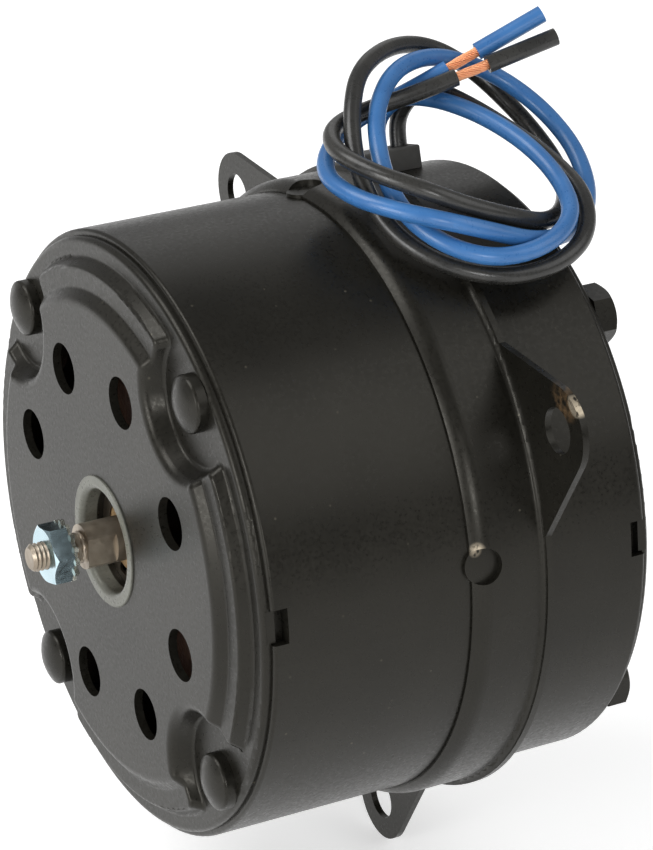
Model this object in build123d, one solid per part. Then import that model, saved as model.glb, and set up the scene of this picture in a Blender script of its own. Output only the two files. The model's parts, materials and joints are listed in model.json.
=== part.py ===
from build123d import *
from math import acos, atan2, cos, pi, radians, sin, sqrt, tan
import os

# Radiator fan motor: a closed four-bolt permanent-magnet motor in a steel tube case,
# with a three-eared mounting ring, a threaded fan shaft and two loose leads.
# Millimetres. The shaft lies along Y with the fan end toward -Y, and +Z is up.
# The origin is the centre of the three ear holes on the front face of the ears.
# Angles turn from +X toward +Z, seen from the fan end.

os.makedirs("parts", exist_ok=True)

# Case
CASE_RADIUS = 54.0
CASE_WALL = 2.5
CASE_LENGTH = 71.0
REAR_SEAM_Y = 21.1
CASE_EDGE_ROUND = 0.7
MAGNET_CENTRE_ANGLE = 7.5
MAGNET_COUNT = 4
NOTCH_WIDTH = 6.2
NOTCH_DEPTH = 2.8
TAB_DEPTH = 0.8
TAB_CLEARANCE = 0.3

# End caps
CAP_WALL = 1.6
CAP_RIM_INSET = 1.1
CAP_RIM_HEIGHT = 1.5
CAP_RIM_ROUND = 1.1
LEDGE_HEIGHT = 3.7
PLATEAU_HEIGHT = 5.4
LEDGE_INSET = 5.8
LEDGE_WIDTH = 3.6
PLATEAU_STEP = 2.0
STEP_SLOPE = 1.3
SPIGOT_DEPTH = 3.0
SPIGOT_CLEARANCE = 0.1
SPIGOT_CORNER = 1.0
PLATEAU_ROUND = 2.0
LEDGE_ROUND = 0.8
FLOOR_ROUND = 0.8
HUB_BORE_RADIUS = 9.2
HUB_WALL = 1.6
HUB_RING_WIDTH = 2.6
HUB_RING_HEIGHT = 0.35
HUB_RING_ROUND = 0.28
VENT_COUNT = 8
VENT_RADIUS = 4.6
VENT_CIRCLE_RADIUS = 30.8
VENT_FIRST_ANGLE = 30.0

# Through bolts
BOLT_COUNT = 4
BOLT_INSET = 6.4
BOLT_SHANK_RADIUS = 2.4
BOLT_HOLE_CLEARANCE = 0.2
BOLT_HEAD_RADIUS = 5.0
BOLT_HEAD_HEIGHT = 3.4
BOLT_END_PROUD = 1.2
DOME_HEIGHT = 1.5
BOLT_HEAD_ROUND = 0.6
BOLT_NUT_ACROSS = 9.5
BOLT_NUT_HEIGHT = 4.0
POCKET_FLOOR_RADIUS = 11.4
POCKET_SLOPE = 1.5
POCKET_CORNER_ROUND = 1.5

# Mounting ring with ears
RING_GAP = 0.05
RING_WALL = 1.85
BAND_LENGTH = 13.1
FLANGE_REACH = 1.1
BAND_LIP_LENGTH = 3.2
BAND_EDGE_THICKNESS = 0.4
FLANGE_CORNER_ROUND = 1.0
EAR_THICKNESS = 1.2
EAR_COUNT = 3
EAR_CIRCLE_RADIUS = 67.2
EAR_TIP_RADIUS = 8.0
EAR_HOLE_RADIUS = 4.0
EAR_FIRST_ANGLE = 30.0
EAR_ROOT_HALF_WIDTH = 17.4
STAKE_COUNT = 4
STAKE_FIRST_ANGLE = 10.0
STAKE_RADIUS = 3.2
STAKE_REACH = 1.3
STAKE_THICKNESS = 0.6

# Shaft, washer and nut
SHAFT_RADIUS = 4.0
SHAFT_FLAT_ACROSS = 7.0
FLAT_LENGTH = 5.3
FLAT_TO_HUB_FACE = 0.9
NECK_RADIUS = 3.2
NECK_LENGTH = 2.7
NECK_DISH = 0.5
THREAD_RADIUS = 2.5
THREAD_LENGTH = 7.1
THREAD_CHAMFER = 0.6
FIT_CLEARANCE = 0.03
WASHER_RADIUS = 5.5
WASHER_THICKNESS = 0.8
WASHER_TEETH = 14
WASHER_TOOTH_DEPTH = 0.9
WASHER_TOOTH_LAP = 0.4
WASHER_TOOTH_SHARE = 0.42
WASHER_TOOTH_TAPER = 0.45
NUT_ACROSS = 9.6
NUT_HEIGHT = 3.5
NUT_CROWN = 0.5
NUT_TURN = 12.0

# Bearings
BEARING_BALL_RADIUS = 7.6
BEARING_LENGTH = 9.0
BEARING_TO_CAP_FACE = 8.5
REAR_BEARING_TO_CAP_FACE = 3.6
SEAT_WALL = 1.2
SEAT_CLEARANCE = 0.05
RETAINER_THICKNESS = 0.5
RETAINER_FINGERS = 6
RETAINER_SLOT = 2.2
FELT_THICKNESS = 2.0
HUB_END_GAP = 1.6
SEAT_LAP = 0.1
HUB_MOUTH_ROUND = 1.0
RETAINER_SLOT_DEPTH = 1.3
RETAINER_TURN = 20.0
FELT_OFFSET = 2.0

# Rotor
AIR_GAP = 1.4
CORE_SETBACK = 19.3
SLOT_WIDTH = 6.0
SLOT_DEPTH = 14.4
SLOT_PITCH = 9.03
TOOTH_TIP_DEPTH = 2.6
SLOT_CORNER = 2.0
SLOT_MOUTH = 2.2
SLOT_FIRST_ANGLE = 0.0
SLOT_LINER = 0.2
INSULATOR_THICKNESS = 0.8
END_TURN_LENGTH = 8.6
END_TURN_LAP = 7.0
END_TURN_ROUND = 3.87
COMMUTATOR_RADIUS = 14.0
COMMUTATOR_LENGTH = 14.6
COMMUTATOR_GAP = 1.4
COMMUTATOR_WALL = 5.4
RISER_HEIGHT = 1.8
RISER_LENGTH = 2.0
BAR_SLIT = 0.6
BAR_SLIT_DEPTH = 1.4
THRUST_WASHER_RADIUS = 5.8
THRUST_WASHER_THICKNESS = 1.0
THRUST_GAP = 0.3
COLLAR_RADIUS = 5.8
REAR_SPACER_LENGTH = 1.5

# Magnets
MAGNET_THICKNESS = 10.05
MAGNET_ARC = 64.0
MAGNET_OVERHANG = 4.0
MAGNET_GLUE_LINE = 0.05

# Brush gear
BRUSH_WIDTH = 6.6
BRUSH_LENGTH = 12.0
BRUSH_DEPTH = 8.0
BRUSH_CLEARANCE = 0.1
BRUSH_LIFT = 0.3
BRUSH_TRAVEL = 4.0
HOLDER_WALL = 0.8
HOLDER_TO_COMMUTATOR = 3.0
SPRING_SHORTEST = 5.4
SPRING_WIRE_RADIUS = 0.35
SPRING_RADIUS = 2.4
SPRING_TURNS = 6
SPRING_SEAT_GAP = 0.1
BRUSH_PLATE_TO_RISER = 0.6
BRUSH_PLATE_THICKNESS = 1.6
SCREW_COUNT = 3
SCREW_TO_PLATE_EDGE = 11.0
SCREW_FIRST_ANGLE = 0.0
SCREW_RADIUS = 1.5
SCREW_HEAD_RADIUS = 2.8
SCREW_HEAD_HEIGHT = 1.8
SCREW_HEAD_ROUND = 0.9

# Lead grommet
GROMMET_ANGLE = 107.0
GROMMET_TO_MAGNET = 0.7
GROMMET_LENGTH = 12.2
GROMMET_WIDTH = 7.0
GROMMET_HEIGHT = 4.0
GROMMET_GROOVE = 0.8
GROMMET_FOOT_HEIGHT = 1.4
GROMMET_CORNER = 0.8

# Leads
LEAD_RADIUS = 1.55
LEAD_CORE_RADIUS = 1.0
LEAD_CORE_CLEARANCE = 0.03
LEAD_BARE_LENGTH = 6.0
LEAD_SLUG_LENGTH = 13.2
LEAD_SLUG_LAP = 3.0
LEAD_FIRST_Y = 5.4
LEAD_PITCH = 4.2
LEAD_EXIT_RUN = 3.5
ARC_SHARE = 0.45

# How far a cut runs past what it cuts, and a joined piece into its neighbour
CUT_MARGIN = 1.0
JOIN_LAP = 0.5

# How near two places must be to count as one
SAME_PLACE = 0.01

# Routes of the leads past the grommet: two loose turns each, then the cut end
BLUE_LEAD_POINTS = [
    (-17.5, 8.5, 62.5), (-15.0, 10.5, 65.5), (-11.0, 13.0, 66.5), (-6.0, 16.0, 66.5), (0.5, 20.0, 65.0),
    (9.5, 23.0, 62.5), (19.0, 23.5, 59.5), (28.5, 20.5, 57.0), (33.5, 13.0, 55.0), (33.5, 4.5, 54.0),
    (30.0, -2.0, 55.0),
    (24.0, -6.5, 57.5), (16.5, -8.0, 61.0), (8.5, -6.5, 66.0), (0.0, -2.5, 70.5), (-7.5, 5.0, 74.0),
    (-11.5, 14.5, 74.0), (-11.0, 23.0, 71.0), (-7.5, 29.5, 67.0), (-1.0, 33.5, 62.5), (7.0, 34.5, 58.0),
    (17.0, 31.0, 53.5), (25.0, 22.5, 52.0), (29.5, 12.5, 54.0), (30.0, 3.0, 58.0), (28.0, -4.5, 60.5),
    (23.0, -10.5, 61.5), (15.0, -15.0, 62.0), (4.0, -15.0, 62.5), (-5.0, -8.0, 64.5), (-9.0, 1.0, 66.5),
    (-9.0, 9.5, 69.0), (-7.6, 16.0, 72.3),
]
BLACK_LEAD_POINTS = [
    (-17.5, 12.5, 62.5), (-15.5, 14.0, 65.5), (-12.0, 16.5, 67.0), (-6.0, 20.5, 65.0), (2.0, 24.5, 62.0),
    (11.0, 27.0, 59.5), (21.5, 27.0, 57.0), (30.0, 22.5, 53.5), (33.5, 15.0, 51.0), (33.0, 6.5, 50.0),
    (30.0, -0.5, 51.0),
    (25.0, -6.0, 53.0), (19.0, -9.5, 56.0), (13.5, -11.0, 60.5), (7.5, -10.5, 65.5), (0.5, -7.5, 71.0),
    (-7.0, -2.0, 75.5), (-13.0, 7.5, 76.5), (-16.0, 17.0, 74.0), (-14.5, 24.5, 69.0), (-10.5, 29.0, 64.0),
    (-3.5, 31.5, 59.5), (6.0, 31.5, 55.5), (16.5, 26.5, 53.5), (24.5, 18.0, 54.5), (27.0, 8.5, 58.5),
    (26.5, 0.0, 62.0), (23.5, -6.5, 65.0), (17.0, -12.0, 66.5), (7.5, -14.5, 67.5), (-1.5, -10.5, 68.0),
    (-5.5, -1.0, 68.5), (-5.5, 8.0, 69.5), (-4.1, 15.8, 71.9),
]

# Worked out from the sizes above
CASE_BORE = CASE_RADIUS - CASE_WALL
FRONT_SEAM_Y = REAR_SEAM_Y - CASE_LENGTH
LEDGE_OUTER_RADIUS = CASE_RADIUS - LEDGE_INSET
LEDGE_INNER_RADIUS = LEDGE_OUTER_RADIUS - LEDGE_WIDTH
PLATEAU_RADIUS = LEDGE_INNER_RADIUS - PLATEAU_STEP
HUB_RING_RADIUS = HUB_BORE_RADIUS + HUB_RING_WIDTH
BOLT_FIRST_ANGLE = MAGNET_CENTRE_ANGLE + 180 / BOLT_COUNT
BOLT_CIRCLE_RADIUS = CASE_RADIUS - BOLT_INSET
CAP_RIM_RADIUS = CASE_RADIUS - CAP_RIM_INSET
FRONT_FACE_Y = FRONT_SEAM_Y - PLATEAU_HEIGHT
REAR_FACE_Y = REAR_SEAM_Y + PLATEAU_HEIGHT
RING_BORE = CASE_RADIUS + RING_GAP
BAND_RADIUS = RING_BORE + RING_WALL
FLANGE_RADIUS = BAND_RADIUS + FLANGE_REACH
FRONT_BEARING_Y = FRONT_FACE_Y + BEARING_TO_CAP_FACE
REAR_BEARING_Y = REAR_FACE_Y + REAR_BEARING_TO_CAP_FACE
CORE_FRONT_Y = FRONT_SEAM_Y + CORE_SETBACK
NECK_REAR_Y = FRONT_FACE_Y + FLAT_TO_HUB_FACE - FLAT_LENGTH
NECK_FRONT_Y = NECK_REAR_Y - NECK_LENGTH
SHAFT_TIP_Y = NECK_FRONT_Y - THREAD_LENGTH
REAR_WASHER_Y = REAR_BEARING_Y - BEARING_LENGTH / 2 - THRUST_GAP
REAR_SPACER_Y = REAR_WASHER_Y - THRUST_WASHER_THICKNESS
COMMUTATOR_REAR_Y = REAR_SPACER_Y - REAR_SPACER_LENGTH
COMMUTATOR_FRONT_Y = COMMUTATOR_REAR_Y - COMMUTATOR_LENGTH
CORE_REAR_Y = COMMUTATOR_FRONT_Y - COMMUTATOR_GAP - END_TURN_LENGTH - INSULATOR_THICKNESS
MAGNET_OUTER = CASE_BORE - MAGNET_GLUE_LINE
MAGNET_BORE = MAGNET_OUTER - MAGNET_THICKNESS
CORE_RADIUS = MAGNET_BORE - AIR_GAP
SLOT_TOP_RADIUS = CORE_RADIUS - TOOTH_TIP_DEPTH
SLOT_BOTTOM_RADIUS = SLOT_TOP_RADIUS - SLOT_DEPTH
SLOT_COUNT = round(2 * pi * SLOT_BOTTOM_RADIUS / SLOT_PITCH)
END_TURN_INNER_RADIUS = SLOT_BOTTOM_RADIUS - END_TURN_LAP
RISER_RADIUS = COMMUTATOR_RADIUS + RISER_HEIGHT
COMMUTATOR_HUB_RADIUS = COMMUTATOR_RADIUS - COMMUTATOR_WALL
MAGNET_FRONT_Y = CORE_FRONT_Y - MAGNET_OVERHANG
MAGNET_REAR_Y = CORE_REAR_Y + MAGNET_OVERHANG
BRUSH_PLATE_RADIUS = PLATEAU_RADIUS - CAP_WALL
SCREW_CIRCLE_RADIUS = BRUSH_PLATE_RADIUS - SCREW_TO_PLATE_EDGE
BRUSH_PLATE_HOLE_RADIUS = RISER_RADIUS + BRUSH_PLATE_TO_RISER
BRUSH_PLATE_REAR_Y = REAR_FACE_Y - CAP_WALL
BRUSH_PLATE_FRONT_Y = BRUSH_PLATE_REAR_Y - BRUSH_PLATE_THICKNESS
HOLDER_INNER_DEPTH = BRUSH_DEPTH + 2 * BRUSH_CLEARANCE
HOLDER_REAR_Y = BRUSH_PLATE_FRONT_Y
BRUSH_Y = HOLDER_REAR_Y - HOLDER_WALL - HOLDER_INNER_DEPTH / 2
BRUSH_FACE_RADIUS = COMMUTATOR_RADIUS + BRUSH_LIFT
BRUSH_BACK_RADIUS = BRUSH_FACE_RADIUS + BRUSH_LENGTH
SPRING_SEAT_RADIUS = BRUSH_BACK_RADIUS + BRUSH_TRAVEL + SPRING_SHORTEST
HOLDER_FRONT_RADIUS = COMMUTATOR_RADIUS + HOLDER_TO_COMMUTATOR
SHAFT_REAR_Y = REAR_BEARING_Y + BEARING_LENGTH / 2 + HUB_END_GAP / 2
GROMMET_FRONT_Y = MAGNET_REAR_Y + GROMMET_TO_MAGNET
GROMMET_MIDDLE_Y = GROMMET_FRONT_Y + GROMMET_LENGTH / 2
FRONT_WASHER_Y = FRONT_BEARING_Y + BEARING_LENGTH / 2 + THRUST_GAP
FRONT_SPACER_Y = FRONT_WASHER_Y + THRUST_WASHER_THICKNESS
SHAFT_HOLE_RADIUS = SHAFT_RADIUS + FIT_CLEARANCE
SEAT_HALF = BEARING_LENGTH / 2 - SEAT_LAP
SEAT_BORE_RADIUS = sqrt(BEARING_BALL_RADIUS**2 - SEAT_HALF**2) + SEAT_CLEARANCE
RETAINER_HALF = BEARING_LENGTH / 2 - RETAINER_THICKNESS
RETAINER_BORE_RADIUS = sqrt(BEARING_BALL_RADIUS**2 - RETAINER_HALF**2) + SEAT_CLEARANCE


def turned(points):
    """A solid of revolution about the shaft line, from (radius, y) points."""
    return revolve(Polygon(*points, align=None), Axis.Y, 360)


def rod(radius, y_from, y_to, x=0.0, z=0.0):
    """A round bar along Y between two places."""
    length = y_to - y_from
    return Pos(x, (y_from + y_to) / 2, z) * Rot(90, 0, 0) * Cylinder(radius, length)


def at_angle(angle):
    """The turn about Y that carries +X to the given angle, seen from the fan end."""
    return Rot(0, -angle, 0)


def on_circle(radius, angle):
    """The (x, z) place at a radius and an angle round the shaft."""
    return radius * cos(radians(angle)), radius * sin(radians(angle))


def circle_angles(count, first):
    """The angles of evenly spaced places round the shaft."""
    return [first + index * 360 / count for index in range(count)]


def hex_bar(across, y_from, y_to, x=0.0, z=0.0, turn=0.0):
    """A six-sided bar along Y."""
    outline = RegularPolygon(across / 2, 6, major_radius=False, rotation=turn)
    bar = extrude(outline, y_to - y_from)
    return Pos(x, y_to, z) * Rot(90, 0, 0) * bar


def level_edges(edges, y):
    """Those of some edges that lie wholly at one place along the shaft line."""
    return [edge for edge in edges if all(abs((edge @ share).Y - y) < SAME_PLACE for share in (0, 0.5, 1))]


def ring_edges(shape, radius, y):
    """The round edges of a radius that lie at one place along the shaft line."""
    rings = shape.edges().filter_by(GeomType.CIRCLE)
    return [ring for ring in level_edges(rings, y) if abs(ring.radius - radius) < SAME_PLACE]


def keep_largest(shape):
    """The biggest solid of a result, where a cut may leave a sliver."""
    return max(shape.solids(), key=lambda solid: solid.volume)


def make_case_tube():
    tube = rod(CASE_RADIUS, FRONT_SEAM_Y, REAR_SEAM_Y)
    tube = fillet(tube.edges().filter_by(GeomType.CIRCLE), CASE_EDGE_ROUND)
    tube -= rod(CASE_BORE, FRONT_SEAM_Y - CUT_MARGIN, REAR_SEAM_Y + CUT_MARGIN)
    for seam_y in (FRONT_SEAM_Y, REAR_SEAM_Y):
        for angle in circle_angles(2, MAGNET_CENTRE_ANGLE):
            notch = Box(4 * CASE_WALL, 2 * NOTCH_DEPTH, NOTCH_WIDTH)
            tube -= at_angle(angle) * Pos(CASE_RADIUS, seam_y, 0) * notch
    neck_length = GROMMET_LENGTH - 2 * GROMMET_GROOVE
    neck_width = GROMMET_WIDTH - 2 * GROMMET_GROOVE
    opening = Box(6 * CASE_WALL, neck_length, neck_width)
    return tube - at_angle(GROMMET_ANGLE) * Pos(CASE_RADIUS, GROMMET_MIDDLE_Y, 0) * opening


def cap_profile(wall):
    """The stepped outline of a cap's face, outside for wall 0 and inside for the sheet's wall."""
    return [
        (0, PLATEAU_HEIGHT - wall),
        (PLATEAU_RADIUS - wall / 2, PLATEAU_HEIGHT - wall),
        (LEDGE_INNER_RADIUS - wall / 2, LEDGE_HEIGHT - wall),
        (LEDGE_OUTER_RADIUS - wall / 2, LEDGE_HEIGHT - wall),
        (LEDGE_OUTER_RADIUS + STEP_SLOPE - wall / 2, CAP_RIM_HEIGHT - wall),
    ]


def pocket_cone(wall):
    """The bolt pocket pressed into the stepped face, grown by the sheet's wall for the inside."""
    floor = CAP_RIM_HEIGHT - wall
    depth = PLATEAU_HEIGHT - CAP_RIM_HEIGHT
    low = POCKET_FLOOR_RADIUS + wall
    high_y = floor + 2 * depth
    return turned([(0, floor), (low, floor), (low + 2 * POCKET_SLOPE, high_y), (0, high_y)])


def round_pressed_edges(shell):
    """Rounds the corners that a press leaves round the steps and the bolt pockets of a cap."""
    shell = fillet(shell.edges().filter_by(GeomType.BSPLINE), POCKET_CORNER_ROUND)
    shell = fillet(level_edges(shell.edges(), PLATEAU_HEIGHT), PLATEAU_ROUND)
    inner_step = ring_edges(shell, LEDGE_INNER_RADIUS, LEDGE_HEIGHT)
    ledge_rim = [edge for edge in level_edges(shell.edges(), LEDGE_HEIGHT) if edge not in inner_step]
    shell = fillet(ledge_rim, LEDGE_ROUND)
    floor_edges = level_edges(shell.edges(), CAP_RIM_HEIGHT)
    rim = ring_edges(shell, CAP_RIM_RADIUS - CAP_RIM_ROUND, CAP_RIM_HEIGHT)
    return fillet([edge for edge in floor_edges if edge not in rim], FLOOR_ROUND)


def make_cap_shell():
    """The pressed sheet of a cap, lying with its seam at y = 0 and its face toward +Y."""
    outside = cap_profile(0) + [
        (CAP_RIM_RADIUS, CAP_RIM_HEIGHT),
        (CAP_RIM_RADIUS, 0),
        (CASE_BORE - SPIGOT_CLEARANCE, 0),
        (CASE_BORE - SPIGOT_CLEARANCE, -SPIGOT_DEPTH),
        (0, -SPIGOT_DEPTH),
    ]
    inner_radius = CASE_BORE - SPIGOT_CLEARANCE - CAP_WALL
    inside = cap_profile(CAP_WALL)[:-1] + [
        (inner_radius - SPIGOT_CORNER, CAP_RIM_HEIGHT - CAP_WALL),
        (inner_radius, CAP_RIM_HEIGHT - CAP_WALL),
        (inner_radius, -2 * SPIGOT_DEPTH),
        (0, -2 * SPIGOT_DEPTH),
    ]
    shell = turned(outside)
    shell = fillet(ring_edges(shell, CAP_RIM_RADIUS, CAP_RIM_HEIGHT), CAP_RIM_ROUND)
    hollow = turned(inside)
    for angle in circle_angles(BOLT_COUNT, BOLT_FIRST_ANGLE):
        x, z = on_circle(BOLT_CIRCLE_RADIUS, angle)
        shell -= Pos(x, 0, z) * pocket_cone(0)
        hollow -= Pos(x, 0, z) * pocket_cone(CAP_WALL)
    shell = round_pressed_edges(shell) - hollow
    for angle in circle_angles(BOLT_COUNT, BOLT_FIRST_ANGLE):
        x, z = on_circle(BOLT_CIRCLE_RADIUS, angle)
        shell -= rod(BOLT_SHANK_RADIUS + BOLT_HOLE_CLEARANCE, -2 * SPIGOT_DEPTH, PLATEAU_HEIGHT, x, z)
    for angle in circle_angles(2, MAGNET_CENTRE_ANGLE):
        tab_width = NOTCH_WIDTH - 2 * TAB_CLEARANCE
        inner = CASE_BORE - SPIGOT_CLEARANCE - CAP_WALL / 2
        tab = Box(CAP_RIM_RADIUS - inner, TAB_DEPTH + CAP_RIM_HEIGHT / 2, tab_width)
        middle_y = (CAP_RIM_HEIGHT / 2 - TAB_DEPTH) / 2
        shell += at_angle(angle) * Pos((CAP_RIM_RADIUS + inner) / 2, middle_y, 0) * tab
    return shell


def make_hub_ring(inner, outer, y_from, y_to):
    """A plain ring about the shaft line."""
    return rod(outer, y_from, y_to) - rod(inner, y_from - CUT_MARGIN, y_to + CUT_MARGIN)


def make_shaft_collar(outer, y_from, y_to):
    """A washer or spacer that fits on the shaft."""
    return make_hub_ring(SHAFT_HOLE_RADIUS, outer, y_from, y_to)


def make_front_end_cap():
    cap = mirror(make_cap_shell(), about=Plane.XZ)
    cap = Pos(0, FRONT_SEAM_Y, 0) * cap
    seat_y = FRONT_BEARING_Y + BEARING_LENGTH / 2 - SEAT_LAP
    end_y = seat_y + SEAT_WALL
    lip_y = FRONT_FACE_Y - HUB_RING_HEIGHT
    cap += rod(HUB_BORE_RADIUS + HUB_WALL, FRONT_FACE_Y, end_y)
    cap += rod(HUB_RING_RADIUS, lip_y, FRONT_FACE_Y + CAP_WALL / 2)
    cap -= rod(HUB_BORE_RADIUS, lip_y - CUT_MARGIN, seat_y)
    cap -= rod(SEAT_BORE_RADIUS, seat_y - CUT_MARGIN, end_y + CUT_MARGIN)
    cap = fillet(ring_edges(cap, HUB_RING_RADIUS, lip_y), HUB_RING_ROUND)
    cap = fillet(ring_edges(cap, HUB_BORE_RADIUS, lip_y), HUB_MOUTH_ROUND)
    for angle in circle_angles(VENT_COUNT, VENT_FIRST_ANGLE):
        x, z = on_circle(VENT_CIRCLE_RADIUS, angle)
        cap -= rod(VENT_RADIUS, FRONT_FACE_Y - CUT_MARGIN, FRONT_SEAM_Y, x, z)
    return cap


def make_rear_end_cap():
    cap = Pos(0, REAR_SEAM_Y, 0) * make_cap_shell()
    seat_y = REAR_BEARING_Y + BEARING_LENGTH / 2 - SEAT_LAP
    end_y = REAR_BEARING_Y + BEARING_LENGTH / 2 + HUB_END_GAP
    cup = rod(HUB_BORE_RADIUS + HUB_WALL, REAR_FACE_Y - CAP_WALL, end_y + CAP_WALL)
    cup = fillet(cup.faces().sort_by(Axis.Y)[-1].edges(), CAP_WALL)
    cap += cup
    cap -= rod(HUB_BORE_RADIUS, REAR_SEAM_Y - CUT_MARGIN, seat_y)
    cap -= rod(SEAT_BORE_RADIUS, seat_y - CUT_MARGIN, end_y)
    cap -= rod(HUB_BORE_RADIUS, seat_y + SEAT_WALL, end_y)
    for angle in circle_angles(SCREW_COUNT, SCREW_FIRST_ANGLE):
        x, z = on_circle(SCREW_CIRCLE_RADIUS, angle)
        cap -= rod(SCREW_RADIUS + FIT_CLEARANCE, REAR_SEAM_Y, REAR_FACE_Y + CUT_MARGIN, x, z)
    return cap


def plate(outline, y_from, y_to):
    """A flat plate across the shaft line, from an outline drawn in X and Z."""
    plane = Plane(origin=(0, y_from, 0), x_dir=(1, 0, 0), z_dir=(0, -1, 0))
    return extrude(plane * outline, -(y_to - y_from))


def ear_outline():
    """One ear pointing along +X: a triangle whose sides run into the round tip."""
    root = sqrt(BAND_RADIUS**2 - EAR_ROOT_HALF_WIDTH**2)
    reach = EAR_CIRCLE_RADIUS - root
    spread = sqrt(reach**2 + EAR_ROOT_HALF_WIDTH**2)
    lean = atan2(EAR_ROOT_HALF_WIDTH, reach)
    turn = pi - lean - acos(EAR_TIP_RADIUS / spread)
    touch_x = EAR_CIRCLE_RADIUS + EAR_TIP_RADIUS * cos(turn)
    touch_z = EAR_TIP_RADIUS * sin(turn)
    sides = Polygon(
        (root, -EAR_ROOT_HALF_WIDTH), (touch_x, -touch_z), (touch_x, touch_z), (root, EAR_ROOT_HALF_WIDTH),
        align=None,
    )
    return sides + Pos(EAR_CIRCLE_RADIUS, 0) * Circle(EAR_TIP_RADIUS)


def make_mounting_ring():
    lip_rear_y = -BAND_LENGTH + BAND_LIP_LENGTH
    edge_radius = RING_BORE + BAND_EDGE_THICKNESS
    outline = Polyline(
        (edge_radius, -BAND_LENGTH), (RING_BORE, -BAND_LENGTH), (RING_BORE, EAR_THICKNESS),
        (BAND_RADIUS, EAR_THICKNESS), (BAND_RADIUS, lip_rear_y),
    )
    outline += TangentArc((BAND_RADIUS, lip_rear_y), (edge_radius, -BAND_LENGTH), tangent=(0, -1))
    band = revolve(make_face(outline), Axis.Y, 360)
    flange = Circle(FLANGE_RADIUS)
    for angle in circle_angles(EAR_COUNT, EAR_FIRST_ANGLE):
        flange += Rot(0, 0, angle) * ear_outline()
    flange -= Circle(RING_BORE)
    ring = band + plate(flange, 0, EAR_THICKNESS)
    ring = fillet(ring_edges(ring, BAND_RADIUS, 0), FLANGE_CORNER_ROUND)
    for angle in circle_angles(EAR_COUNT, EAR_FIRST_ANGLE):
        x, z = on_circle(EAR_CIRCLE_RADIUS, angle)
        ring -= rod(EAR_HOLE_RADIUS, -CUT_MARGIN, EAR_THICKNESS + CUT_MARGIN, x, z)
    for angle in circle_angles(STAKE_COUNT, STAKE_FIRST_ANGLE):
        floor = RING_BORE + STAKE_THICKNESS
        ring -= make_stake_disc(floor, BAND_RADIUS + CUT_MARGIN, angle)
        ring += make_stake_disc(RING_BORE - RING_GAP / 2, floor, angle)
    return ring


def make_stake_disc(inner, outer, angle):
    """The round patch between two radii where a punch has pressed the band's edge onto the case."""
    middle_y = -BAND_LENGTH - STAKE_REACH + STAKE_RADIUS
    punch = Pos(outer, middle_y, 0) * Rot(0, 90, 0) * Cylinder(STAKE_RADIUS, outer)
    layer = make_hub_ring(inner, outer, middle_y - 2 * STAKE_RADIUS, middle_y + 2 * STAKE_RADIUS)
    return at_angle(angle) * (layer & punch)


def make_through_bolts():
    """Four bolts with smooth domed heads at the front and threaded ends at the rear."""
    bolts = []
    seat_y = FRONT_SEAM_Y - CAP_RIM_HEIGHT
    end_y = REAR_SEAM_Y + CAP_RIM_HEIGHT + BOLT_NUT_HEIGHT + BOLT_END_PROUD
    dome_radius = (BOLT_HEAD_RADIUS**2 + DOME_HEIGHT**2) / (2 * DOME_HEIGHT)
    rim_y = seat_y - (BOLT_HEAD_HEIGHT - DOME_HEIGHT)
    for angle in circle_angles(BOLT_COUNT, BOLT_FIRST_ANGLE):
        x, z = on_circle(BOLT_CIRCLE_RADIUS, angle)
        ball = Pos(x, rim_y - DOME_HEIGHT + dome_radius, z) * Sphere(dome_radius)
        head = rod(BOLT_HEAD_RADIUS, rim_y - DOME_HEIGHT - CUT_MARGIN, seat_y, x, z) & ball
        head = fillet(ring_edges(head, BOLT_HEAD_RADIUS, rim_y), BOLT_HEAD_ROUND)
        shank = rod(BOLT_SHANK_RADIUS, seat_y - JOIN_LAP, end_y, x, z)
        shank = chamfer(shank.faces().sort_by(Axis.Y)[-1].edges(), THREAD_CHAMFER)
        bolts.append(head + shank)
    return Compound(children=bolts)


def make_through_bolt_nuts():
    nuts = []
    seat_y = REAR_SEAM_Y + CAP_RIM_HEIGHT
    for angle in circle_angles(BOLT_COUNT, BOLT_FIRST_ANGLE):
        x, z = on_circle(BOLT_CIRCLE_RADIUS, angle)
        nut = hex_bar(BOLT_NUT_ACROSS, seat_y, seat_y + BOLT_NUT_HEIGHT, x, z, angle)
        corner = BOLT_NUT_ACROSS / sqrt(3)
        crown = turned([
            (0, seat_y), (corner, seat_y), (corner, seat_y + BOLT_NUT_HEIGHT - NUT_CROWN),
            (BOLT_NUT_ACROSS / 2, seat_y + BOLT_NUT_HEIGHT), (0, seat_y + BOLT_NUT_HEIGHT),
        ])
        nut = nut & Pos(x, 0, z) * crown
        hole_end_y = seat_y + BOLT_NUT_HEIGHT + CUT_MARGIN
        nuts.append(nut - rod(BOLT_SHANK_RADIUS + FIT_CLEARANCE, seat_y - CUT_MARGIN, hole_end_y, x, z))
    return Compound(children=nuts)


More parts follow.
